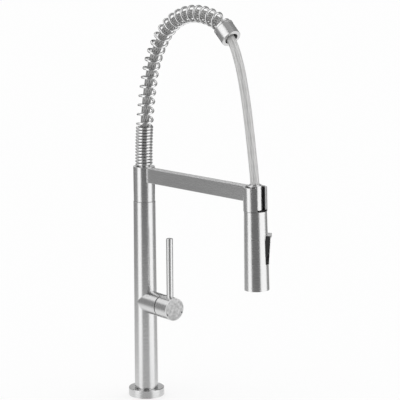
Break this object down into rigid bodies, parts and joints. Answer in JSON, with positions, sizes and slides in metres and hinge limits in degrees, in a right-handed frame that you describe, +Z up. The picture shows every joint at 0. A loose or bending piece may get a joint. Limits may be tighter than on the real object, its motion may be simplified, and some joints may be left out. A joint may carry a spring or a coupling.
{
  "type": "kitchen faucet",
  "caption": "Spring-neck kitchen faucet: swivel column with a pin lever, coil-spring arch, flat arm with a docking ring, and a pull-down spray with a side trigger.",
  "frame": {"origin": "middle of the flange's underside, on the worktop", "axes": "+Z up along the column, -Y outward along the arm and the handle's axis, +X to the right seen from the front"},
  "size_m": [0.054, 0.2869, 0.6102],
  "materials": {
    "satin_steel": "satin brushed stainless steel",
    "spring_steel": "bright drawn stainless wire",
    "plain_steel": "plain machined steel",
    "lip_steel": "bright polished steel",
    "brass": "machined brass",
    "ceramic_white": "white moulded cartridge body",
    "black_plastic": "black moulded plastic",
    "grey_plastic": "grey moulded plastic",
    "black_rubber": "black rubber",
    "hose_braid": "light grey braided sleeve",
    "index_inlay": "dark inlay"
  },
  "bodies": {
    "base": {"mounting_shank": "plain_steel", "deck_washer": "black_rubber", "clamp_washer": "plain_steel", "lock_nut": "brass", "nut_screws": "plain_steel", "base_flange": "satin_steel", "base_seal": "black_rubber", "column_body": "satin_steel", "cartridge_socket": "satin_steel", "mixer_core": "brass", "riser_tube": "brass", "cartridge_housing": "brass", "cartridge": "ceramic_white", "cartridge_nut": "brass", "bonnet_ring": "plain_steel", "swivel_spigot": "brass", "spigot_o_rings": "black_rubber", "thrust_washer": "black_plastic", "retaining_clip": "plain_steel"},
    "turret": {"stem_turret": "ceramic_white", "tilt_pin": "plain_steel"},
    "handle": {"cartridge_stem": "plain_steel", "handle_hub": "satin_steel", "handle_lever": "satin_steel", "set_screw": "plain_steel", "index_marks": "index_inlay"},
    "spout": {"swivel_bushes": "black_plastic", "swivel_sleeve": "satin_steel", "sleeve_cap": "brass", "hose_nipple": "brass", "holder_arm": "satin_steel", "arm_screws": "plain_steel", "holder_ring": "satin_steel", "ring_liner": "black_plastic", "spring": "spring_steel", "spring_ferrule": "satin_steel", "hose_guide": "black_plastic", "spray_hose": "hose_braid"},
    "spray_connector": {"spray_neck": "satin_steel", "hose_crimp": "plain_steel", "neck_clip": "plain_steel"},
    "spray_head": {"dock_seal": "black_rubber", "spray_shell": "satin_steel", "valve_core": "grey_plastic", "spray_face": "black_plastic", "aerator": "grey_plastic", "spray_nozzles": "black_rubber", "trigger_pin": "plain_steel"},
    "trigger": {"trigger_paddle": "black_plastic", "trigger_plate": "lip_steel"},
    "plunger": {"diverter_plunger": "grey_plastic"}
  },
  "joints": [
    {"name": "spout_swivel", "type": "hinge", "parent": "base", "child": "spout", "pos_m": [0, 0, 0.29], "axis": [0, 0, 1], "continuous": true},
    {"name": "handle_turn", "type": "hinge", "parent": "base", "child": "turret", "pos_m": [0, -0.0335, 0.136], "axis": [0, -1, 0], "range_deg": [-45, 45]},
    {"name": "handle_tilt", "type": "hinge", "parent": "turret", "child": "handle", "pos_m": [0, -0.0335, 0.136], "axis": [1, 0, 0], "range_deg": [0, 25]},
    {"name": "spray_pull", "type": "slide", "parent": "spout", "child": "spray_connector", "axis": [0, -0.0297, -0.9996], "range_m": [0, 0.15], "deforming": ["spray_hose"]},
    {"name": "spray_turn", "type": "hinge", "parent": "spray_connector", "child": "spray_head", "pos_m": [0, -0.24064, 0.29793], "axis": [0, 0.0297, 0.9996], "continuous": true},
    {"name": "trigger_press", "type": "hinge", "parent": "spray_head", "child": "trigger", "pos_m": [0.00582, -0.24737, 0.2358], "axis": [-0.6428, -0.7657, 0.0227], "range_deg": [0, 4.4], "stiffness_Nm_per_rad": 1},
    {"name": "plunger_slide", "type": "slide", "parent": "spray_head", "child": "plunger", "axis": [-0.766, 0.6425, -0.0191], "range_m": [0, 0.0025]}
  ],
  "couplings": [
    {"joint": "plunger_slide", "follows": "trigger_press", "m_per_rad": 0.0253}
  ]
}
